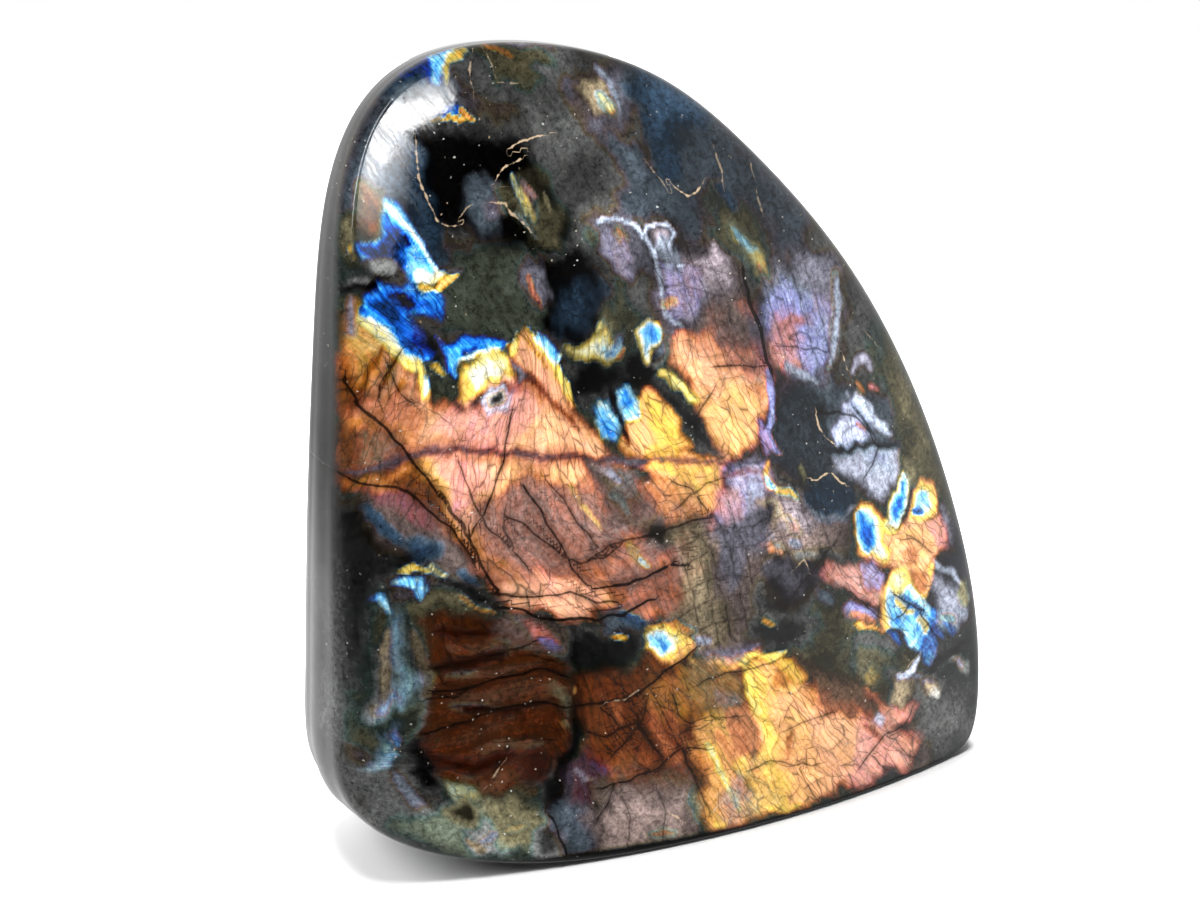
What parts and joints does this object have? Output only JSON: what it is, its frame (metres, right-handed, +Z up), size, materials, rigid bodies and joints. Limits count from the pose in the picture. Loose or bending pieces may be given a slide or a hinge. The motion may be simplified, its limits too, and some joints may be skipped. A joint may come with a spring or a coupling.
{
  "type": "labradorite freeform",
  "caption": "Free-standing polished slab of labradorite with a flat sawn base, a domed flashing front face, rounded rims and a sloping shoulder.",
  "frame": {"origin": "on the resting surface, under the middle of the stone", "axes": "+Z up, front face towards -Y, long sloping shoulder towards +X"},
  "size_m": [0.1328, 0.0456, 0.1372],
  "materials": {
    "polished_labradorite": "polished feldspar, dark grey with blue, gold, copper and violet flash"
  },
  "bodies": {
    "root": {"labradorite_freeform": "polished_labradorite"}
  },
  "joints": []
}
